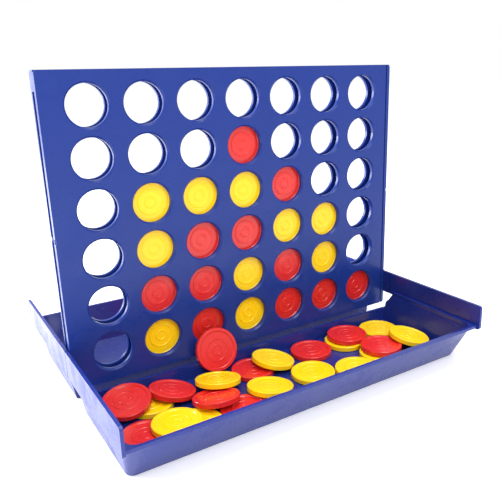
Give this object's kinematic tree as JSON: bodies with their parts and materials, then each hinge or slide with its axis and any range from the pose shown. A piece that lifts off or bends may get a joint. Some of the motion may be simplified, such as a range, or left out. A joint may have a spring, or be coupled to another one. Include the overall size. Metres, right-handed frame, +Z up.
{
  "type": "four in a row game",
  "caption": "Tabletop four-in-a-row game: an upright rack of round windows, hinged between shallow disc trays, with red and yellow discs.",
  "frame": {"origin": "on the table, under the middle of the rack: the middle of the two trays' footprint", "axes": "+X along the rack to the right, +Y from the front tray to the rear tray, +Z up"},
  "size_m": [0.2634, 0.2102, 0.2076],
  "materials": {
    "tray_plastic": "glossy moulded polypropylene, lightly scuffed",
    "rack_plastic": "glossy moulded polystyrene",
    "red_disc": "glossy moulded plastic",
    "yellow_disc": "glossy moulded plastic"
  },
  "bodies": {
    "base": {"front_tray": "tray_plastic", "rear_tray": "tray_plastic", "pivot_pin_left": "tray_plastic", "pivot_pin_right": "tray_plastic", "disc_red_loose_01": "red_disc", "disc_red_loose_02": "red_disc", "disc_red_loose_03": "red_disc", "disc_red_loose_04": "red_disc", "disc_red_loose_05": "red_disc", "disc_red_loose_06": "red_disc", "disc_red_loose_07": "red_disc", "disc_red_loose_08": "red_disc", "disc_red_loose_09": "red_disc", "disc_yellow_loose_01": "yellow_disc", "disc_yellow_loose_02": "yellow_disc", "disc_yellow_loose_03": "yellow_disc", "disc_yellow_loose_04": "yellow_disc", "disc_yellow_loose_05": "yellow_disc", "disc_yellow_loose_06": "yellow_disc", "disc_yellow_loose_07": "yellow_disc", "disc_yellow_loose_08": "yellow_disc", "disc_yellow_loose_09": "yellow_disc", "disc_yellow_loose_10": "yellow_disc", "disc_yellow_loose_11": "yellow_disc", "disc_yellow_loose_12": "yellow_disc"},
    "rack": {"rack_front_plate": "rack_plastic", "rack_rear_plate": "rack_plastic", "rack_dividers": "rack_plastic", "rack_end_rail_left": "rack_plastic", "rack_end_rail_right": "rack_plastic"},
    "release_bar": {"release_bar": "tray_plastic"},
    "leaning_disc": {"disc_red_leaning": "red_disc"},
    "column_2_discs": {"disc_red_column2_row2": "red_disc", "disc_yellow_column2_row1": "yellow_disc", "disc_yellow_column2_row3": "yellow_disc", "disc_yellow_column2_row4": "yellow_disc"},
    "column_3_discs": {"disc_red_column3_row1": "red_disc", "disc_red_column3_row2": "red_disc", "disc_red_column3_row3": "red_disc", "disc_yellow_column3_row4": "yellow_disc"},
    "column_4_discs": {"disc_red_column4_row3": "red_disc", "disc_red_column4_row5": "red_disc", "disc_yellow_column4_row1": "yellow_disc", "disc_yellow_column4_row2": "yellow_disc", "disc_yellow_column4_row4": "yellow_disc"},
    "column_5_discs": {"disc_red_column5_row1": "red_disc", "disc_red_column5_row2": "red_disc", "disc_red_column5_row4": "red_disc", "disc_yellow_column5_row3": "yellow_disc"},
    "column_6_discs": {"disc_red_column6_row1": "red_disc", "disc_yellow_column6_row2": "yellow_disc", "disc_yellow_column6_row3": "yellow_disc"},
    "column_7_discs": {"disc_red_column7_row1": "red_disc"}
  },
  "joints": [
    {"name": "rack_fold", "type": "hinge", "parent": "base", "child": "rack", "pos_m": [0, 0, 0.0334], "axis": [-1, 0, 0], "range_deg": [0, 90]},
    {"name": "release_bar_slide", "type": "slide", "parent": "rack", "child": "release_bar", "axis": [1, 0, 0], "range_m": [0, 0.017]},
    {"name": "leaning_disc_lift", "type": "slide", "parent": "base", "child": "leaning_disc", "axis": [0, -0.5, 0.866], "range_m": [0, 0.045]},
    {"name": "column_2_lift", "type": "slide", "parent": "rack", "child": "column_2_discs", "axis": [0, 0, 1], "range_m": [0, 0.2]},
    {"name": "column_3_lift", "type": "slide", "parent": "rack", "child": "column_3_discs", "axis": [0, 0, 1], "range_m": [0, 0.2]},
    {"name": "column_4_lift", "type": "slide", "parent": "rack", "child": "column_4_discs", "axis": [0, 0, 1], "range_m": [0, 0.2]},
    {"name": "column_5_lift", "type": "slide", "parent": "rack", "child": "column_5_discs", "axis": [0, 0, 1], "range_m": [0, 0.2]},
    {"name": "column_6_lift", "type": "slide", "parent": "rack", "child": "column_6_discs", "axis": [0, 0, 1], "range_m": [0, 0.2]},
    {"name": "column_7_lift", "type": "slide", "parent": "rack", "child": "column_7_discs", "axis": [0, 0, 1], "range_m": [0, 0.2]}
  ],
  "couplings": [
    {"joint": "leaning_disc_lift", "follows": "rack_fold", "m_per_rad": 0.0285}
  ]
}
